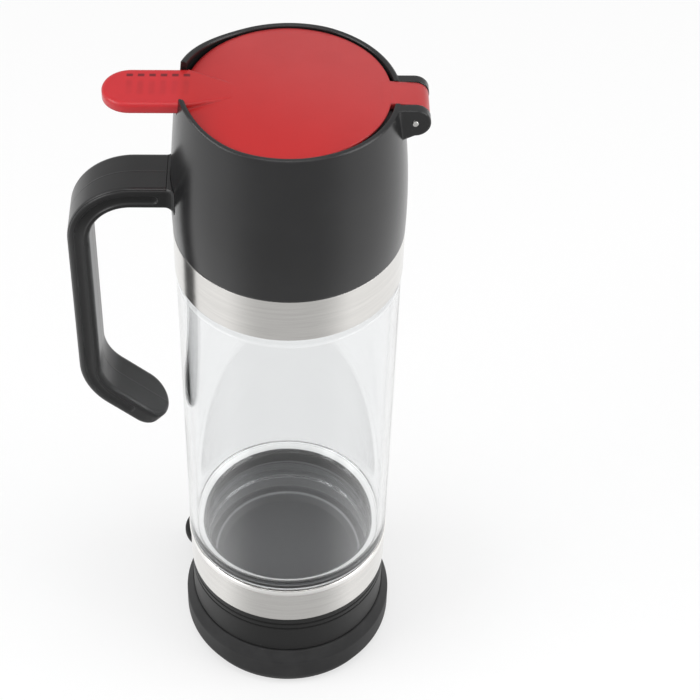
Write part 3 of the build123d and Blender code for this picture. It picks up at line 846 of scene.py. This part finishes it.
@dataclass
class NeckThread:
    """Right-handed ridge that winds up a neck and fades out at both ends."""

    name: str
    start: float
    neck_radius: float
    turns: float
    depth: float = 0.34 * MM
    sunk: float = 0.25 * MM
    root_width: float = 1.9 * MM
    crest_width: float = 0.7 * MM
    pitch: float = 4.0 * MM
    fade: float = 0.12
    steps_per_turn: int = 120

    def _sections(self) -> Iterable[list[Vector]]:
        """Cross sections of the ridge along its helix.

        Returns:
            Four corners for each step, root first.
        """
        count = int(self.turns * self.steps_per_turn)
        for step in range(count + 1):
            share = step / count
            angle = 2 * math.pi * self.turns * share
            height = self.start + self.pitch * self.turns * share
            ends = min(1.0, share / self.fade * self.turns, (1 - share) / self.fade * self.turns)
            lift = self.depth * math.sin(ends * math.pi / 2)
            outline = (
                (-self.sunk, -self.root_width / 2),
                (lift, -self.crest_width / 2),
                (lift, self.crest_width / 2),
                (-self.sunk, self.root_width / 2),
            )
            yield [
                Vector((
                    (self.neck_radius + out) * math.cos(angle),
                    (self.neck_radius + out) * math.sin(angle),
                    height + rise,
                ))
                for out, rise in outline
            ]

    def build(self, paint: Paintbox) -> bpy.types.Object:
        """Make the ridge and let it ride on the vessel.

        Args:
            paint: Source of the clear finish.

        Returns:
            The new piece.
        """
        mesh = bmesh.new()
        rings = [[mesh.verts.new(corner) for corner in section] for section in self._sections()]
        bridge(mesh, rings)
        mesh.faces.new(rings[0])
        mesh.faces.new(reversed(rings[-1]))
        bmesh.ops.recalc_face_normals(mesh, faces=mesh.faces)
        return add_piece(self.name, mesh, Body.VESSEL, Slot.CLEAR_VESSEL, paint)


@dataclass
class TurnedRing:
    """Ring turned about the vessel's axis from a closed outline of (radius, height)."""

    name: str
    outline: tuple[tuple[float, float], ...]
    body: Body
    slot: Slot
    steps: int = 192

    def build(self, paint: Paintbox) -> bpy.types.Object:
        """Make the ring and let it ride on its body.

        Args:
            paint: Source of the finish.

        Returns:
            The new piece.
        """
        mesh = bmesh.new()
        rings = []
        for step in range(self.steps):
            angle = 2 * math.pi * step / self.steps
            rings.append([
                mesh.verts.new((radius * math.cos(angle), radius * math.sin(angle), height))
                for radius, height in self.outline
            ])
        bridge(mesh, rings + rings[:1])
        bmesh.ops.recalc_face_normals(mesh, faces=mesh.faces)
        return add_piece(self.name, mesh, self.body, self.slot, paint)


def add_piece(
    name: str, mesh: bmesh.types.BMesh, body: Body, slot: Slot, paint: Paintbox
) -> bpy.types.Object:
    """Turn a bmesh into a dressed piece that rides on a body.

    Args:
        name: Name of the piece.
        mesh: Its mesh, in place in the frame.
        body: Body that carries it.
        slot: Slot of its finish.
        paint: Source of the finish.

    Returns:
        The new piece.
    """
    data = bpy.data.meshes.new(name)
    mesh.to_mesh(data)
    mesh.free()
    data.shade_smooth()
    data.set_sharp_from_angle(angle=SHARP_ANGLE)
    piece = bpy.data.objects.new(name, data)
    bpy.context.scene.collection.objects.link(piece)
    piece.data.materials.append(paint.material(slot))
    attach(piece, body.value)
    LOG.info("piece %s rides on %s", name, body.value)
    return piece


# Sub-assemblies


@dataclass
class SubAssembly:
    """A group of CAD nodes with the finish of each."""

    finishes: dict[str, Slot] = field(default_factory=dict)

    def build(self, paint: Paintbox) -> None:
        """Dress the nodes; sub-classes add their own pieces.

        Args:
            paint: Source of the finishes.
        """
        for node, slot in self.finishes.items():
            paint.dress(node, slot)


@dataclass
class Base(SubAssembly):
    """Cup, band, gasket and suction foot."""

    finishes: dict[str, Slot] = field(
        default_factory=lambda: {
            "base_cup": Slot.DARK_CUP,
            "lower_band": Slot.STEEL_BAND,
            "base_seal": Slot.BLACK_SEAL,
            "suction_foot": Slot.FOOT_RUBBER,
            "foot_retainer": Slot.INNER_PLASTIC,
            "foot_screws": Slot.SCREW_STEEL,
        }
    )
    bead_sink: float = 0.12 * MM
    bead_drop: float = 0.5 * MM
    bead_inset: float = 0.2 * MM
    seal_gap: float = 0.3 * MM
    shoulder_gap: float = 0.3 * MM
    lip_height: float = 2.6 * MM
    lip_proud: float = 0.45 * MM
    lip_steps: int = 8

    def _bead(self) -> TurnedRing:
        """Sealing bead of the gasket, which touches the vessel's shoulder."""
        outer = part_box("base_seal")[1].x - self.bead_inset
        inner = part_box("head_seal")[1].x + self.seal_gap
        seal_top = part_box("base_seal")[1].z
        top = seal_top + self.shoulder_gap + self.bead_sink
        bottom = seal_top - self.bead_drop
        outline = ((inner, bottom), (outer, bottom), (outer, top), (inner, top))
        return TurnedRing("gasket_bead", outline, Body.BASE_RING, Slot.BLACK_SEAL)

    def _lip(self) -> TurnedRing:
        """Rolled lip round the upper edge of the band."""
        _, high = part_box("lower_band")
        half = self.lip_height / 2
        turns = [math.pi * step / self.lip_steps for step in range(self.lip_steps + 1)]
        outline = tuple(
            (
                high.x + self.lip_proud * (2 * math.sin(turn) - 1),
                high.z - half * (1 + math.cos(turn)),
            )
            for turn in turns
        )
        return TurnedRing("lower_band_lip", outline, Body.BASE, Slot.STEEL_BAND)

    def build(self, paint: Paintbox) -> None:
        """Dress the nodes and add the gasket's bead and the band's rolled lip."""
        super().build(paint)
        for ring in (self._bead(), self._lip()):
            ring.build(paint)


@dataclass
class Vessel(SubAssembly):
    """Clear tube with a thread on each neck."""

    finishes: dict[str, Slot] = field(default_factory=lambda: {"vessel": Slot.CLEAR_VESSEL})
    lower_rise: float = 1.6 * MM
    lower_turns: float = 2.1
    upper_drop: float = 8.6 * MM
    upper_turns: float = 1.6

    def build(self, paint: Paintbox) -> None:
        """Dress the tube and add the two threads."""
        super().build(paint)
        low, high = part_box("vessel")
        neck_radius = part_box("head_seal")[1].x
        for name, start, turns in (
            ("lower_neck_thread", low.z + self.lower_rise, self.lower_turns),
            ("upper_neck_thread", high.z - self.upper_drop, self.upper_turns),
        ):
            NeckThread(name, start, neck_radius, turns).build(paint)


@dataclass
class Head(SubAssembly):
    """Head shell with its band, collar, seal, funnel and hinge pin."""

    finishes: dict[str, Slot] = field(
        default_factory=lambda: {
            "head_shell": Slot.BLACK_HEAD,
            "upper_band": Slot.STEEL_BAND,
            "head_collar": Slot.INNER_PLASTIC,
            "head_seal": Slot.PALE_SEAL,
            "mouth_liner": Slot.INNER_PLASTIC,
            "hinge_pin": Slot.BRIGHT_PIN,
        }
    )


@dataclass
class Handle(SubAssembly):
    """Two mouldings of the handle and the screws that hold it."""

    finishes: dict[str, Slot] = field(
        default_factory=lambda: {
            "handle_shell": Slot.BLACK_GRIP,
            "handle_core": Slot.BLACK_GRIP,
            "handle_screws": Slot.SCREW_STEEL,
        }
    )


@dataclass
class Lid(SubAssembly):
    """Hinged lid with its seal."""

    finishes: dict[str, Slot] = field(
        default_factory=lambda: {"lid": Slot.RED_LID, "lid_seal": Slot.PALE_SEAL}
    )


# Studio


@dataclass(frozen=True)
class Lamp:
    """A soft rectangular lamp aimed at a point of the object."""

    name: str
    place: tuple[float, float, float]
    size: tuple[float, float]
    power: float
    aim: tuple[float, float, float] = (0.0, 0.0, 0.14)
    colour: Colour = WHITE

    def add(self) -> None:
        """Put the lamp into the scene."""
        light = bpy.data.lights.new(self.name, "AREA")
        light.shape = "RECTANGLE"
        light.size, light.size_y = self.size
        light.energy = self.power
        light.color = self.colour
        lamp = bpy.data.objects.new(self.name, light)
        towards = Vector(self.aim) - Vector(self.place)
        turn = towards.to_track_quat("-Z", "Y").to_matrix().to_4x4()
        lamp.matrix_world = Matrix.Translation(self.place) @ turn
        bpy.context.scene.collection.objects.link(lamp)
        LOG.info("lamp %s added", self.name)


@dataclass
class Studio:
    """Pale floor, white surroundings and soft lamps."""

    floor_radius: float = 3.0
    floor_sides: int = 96
    floor_colour: Colour = (0.86, 0.86, 0.86)
    floor_show: float = 0.6
    gloss_show: float = 0.85
    world_strength: float = 0.62
    front_shade: float = 0.5
    front_span: Span = (0.45, 0.95)
    least_reach: float = 1.0 * MM
    lamps: tuple[Lamp, ...] = (
        Lamp("left_softbox", (-1.1, -0.35, 0.95), (0.9, 0.9), 9.0),
        Lamp("right_softbox", (1.1, -0.25, 0.9), (0.9, 0.9), 8.0),
        Lamp("top_softbox", (0.0, -0.25, 1.6), (0.8, 0.5), 4.0),
    )

    def _front(self, x: Value, y: Value) -> Value:
        """Share of the shaded front side in the direction of a point."""
        reach = from_axis(x, y).shaped(Shape.LARGER, self.least_reach)
        return (-(y / reach)).step(*self.front_span)

    def _floor_material(self) -> bpy.types.Material:
        """Pale floor that the camera and the gloss see nearly white, with the shadow kept."""
        made = bpy.data.materials.new("pale_floor")
        made.use_nodes = True
        graph = Graph(made.node_tree)
        _, x, y, _ = graph.place()
        lit = graph.node("ShaderNodeBsdfDiffuse", None, {"Color": self.floor_colour})
        seen = graph.node("ShaderNodeEmission", None, {"Color": WHITE, "Strength": 1.0})
        strength = 1.0 - self.front_shade * self._front(x, y)
        shine = graph.node("ShaderNodeEmission", None, {"Color": WHITE, "Strength": strength})
        plain = graph.light_path("Is Camera Ray", "Is Transmission Ray")
        gloss = graph.light_path("Is Glossy Ray")
        shader = graph.blend(plain * self.floor_show, lit, seen)
        graph.surface(graph.blend(gloss * self.gloss_show, shader, shine))
        return made

    def _floor(self) -> None:
        """Round floor under the object."""
        mesh = bmesh.new()
        size = {"segments": self.floor_sides, "radius": self.floor_radius}
        bmesh.ops.create_circle(mesh, cap_ends=True, **size)
        data = bpy.data.meshes.new("floor")
        mesh.to_mesh(data)
        mesh.free()
        floor = bpy.data.objects.new("floor", data)
        floor.data.materials.append(self._floor_material())
        bpy.context.scene.collection.objects.link(floor)

    def _world(self) -> None:
        """White surroundings that light the object less than the camera sees of them."""
        world = bpy.data.worlds.new("white_room")
        bpy.context.scene.world = world
        world.use_nodes = True
        graph = Graph(world.node_tree)
        seen = graph.light_path("Is Camera Ray", "Is Transmission Ray")
        strength = self.world_strength + (1.0 - self.world_strength) * seen
        shader = graph.node("ShaderNodeBackground", None, {"Color": WHITE, "Strength": strength})
        graph.surface(shader, "ShaderNodeOutputWorld")

    def build(self) -> None:
        """Set up floor, surroundings, lamps and the view transform."""
        self._floor()
        self._world()
        for lamp in self.lamps:
            lamp.add()
        bpy.context.scene.view_settings.view_transform = "Standard"


@dataclass(frozen=True)
class PhotoCamera:
    """Camera at the photograph's place, looking down on the vessel's axis."""

    place: tuple[float, float, float] = (0.0, -0.4924, 0.64417)
    pitch: float = 45.56
    yaw: float = 0.06
    roll: float = 0.29
    lens: float = 105.0
    sensor_width: float = 36.0
    shift: float = 60 / 700
    nearest: float = 50.0 * MM

    def add(self) -> None:
        """Put the camera into the scene and make it the active one."""
        pitch, yaw, roll = (math.radians(angle) for angle in (self.pitch, self.yaw, self.roll))
        level = Vector((math.sin(yaw), math.cos(yaw), 0.0))
        ahead = level * math.cos(pitch) - Vector((0.0, 0.0, math.sin(pitch)))
        right = ahead.cross(Vector((0, 0, 1))).normalized()
        up = right.cross(ahead)
        tilted_right = right * math.cos(roll) + up * math.sin(roll)
        tilted_up = up * math.cos(roll) - right * math.sin(roll)
        turn = Matrix((tilted_right, tilted_up, -ahead)).transposed().to_4x4()
        data = bpy.data.cameras.new("photo_camera")
        data.lens = self.lens
        data.sensor_width = self.sensor_width
        data.shift_x = self.shift
        data.clip_start = self.nearest
        camera = bpy.data.objects.new("photo_camera", data)
        camera.matrix_world = Matrix.Translation(self.place) @ turn
        bpy.context.scene.collection.objects.link(camera)
        bpy.context.scene.camera = camera


def main() -> None:
    """Build and dress every sub-assembly, then the studio and the camera."""
    logging.basicConfig(level=logging.INFO, format="%(name)s: %(message)s")
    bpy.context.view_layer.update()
    paint = Paintbox()
    for assembly in (Base(), Vessel(), Head(), Handle(), Lid()):
        assembly.build(paint)
    Studio().build()
    PhotoCamera().add()


if __name__ == "__main__":
    main()
